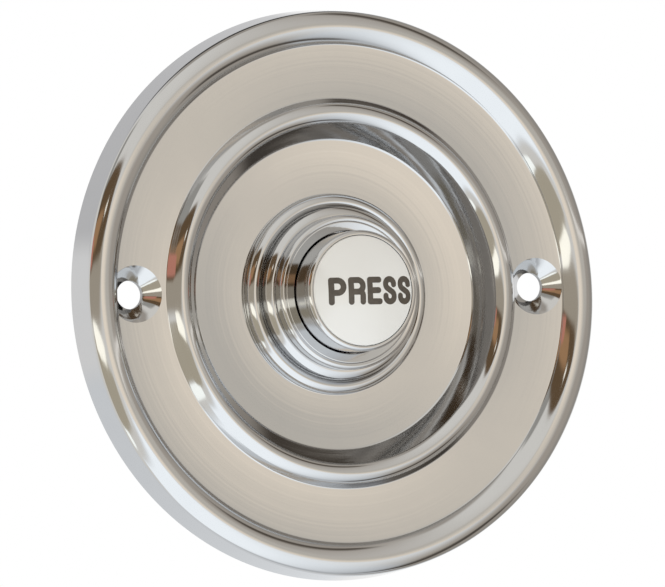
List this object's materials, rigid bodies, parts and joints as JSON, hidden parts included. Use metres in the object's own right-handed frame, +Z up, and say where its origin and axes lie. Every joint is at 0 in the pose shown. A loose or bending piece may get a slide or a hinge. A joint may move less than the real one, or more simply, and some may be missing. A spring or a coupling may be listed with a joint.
{
  "type": "doorbell push button",
  "caption": "Round stepped chrome bell push with a dished plate, countersunk screw holes, turned bezel and a sprung button with a domed white china face.",
  "frame": {"origin": "centre of the plate's back plane, where the rim lies on the wall", "axes": "+Z up the door, +X to the right as the visitor sees it, +Y into the wall, so the face looks along -Y"},
  "size_m": [0.076, 0.0259, 0.076],
  "materials": {
    "chrome": "polished chrome plate on brass",
    "china": "glazed white china",
    "brass": "turned brass",
    "bronze": "rolled phosphor bronze strip",
    "spring_steel": "plain steel",
    "dark_moulding": "moulded phenolic",
    "white_moulding": "moulded nylon"
  },
  "bodies": {
    "plate": {"face_plate": "chrome", "push_bezel": "chrome", "bezel_washer": "spring_steel", "bezel_nut": "brass", "contact_base": "dark_moulding", "contact_leaf": "bronze", "fixed_contact": "bronze", "terminal_screw_left": "brass", "terminal_screw_right": "brass", "terminal_washer_left": "brass", "terminal_washer_right": "brass", "terminal_nut_left": "brass", "terminal_nut_right": "brass", "base_screw_upper": "brass", "base_screw_lower": "brass", "base_washer_upper": "brass", "base_washer_lower": "brass"},
    "button": {"button_barrel": "chrome", "china_insert": "china", "plunger_tip": "white_moulding"}
  },
  "joints": [
    {"name": "button_press", "type": "slide", "parent": "plate", "child": "button", "axis": [0, 1, 0], "range_m": [0, 0.0018], "stiffness_N_per_m": 900, "springref_m": -0.001, "deforming": ["contact_leaf"]}
  ]
}
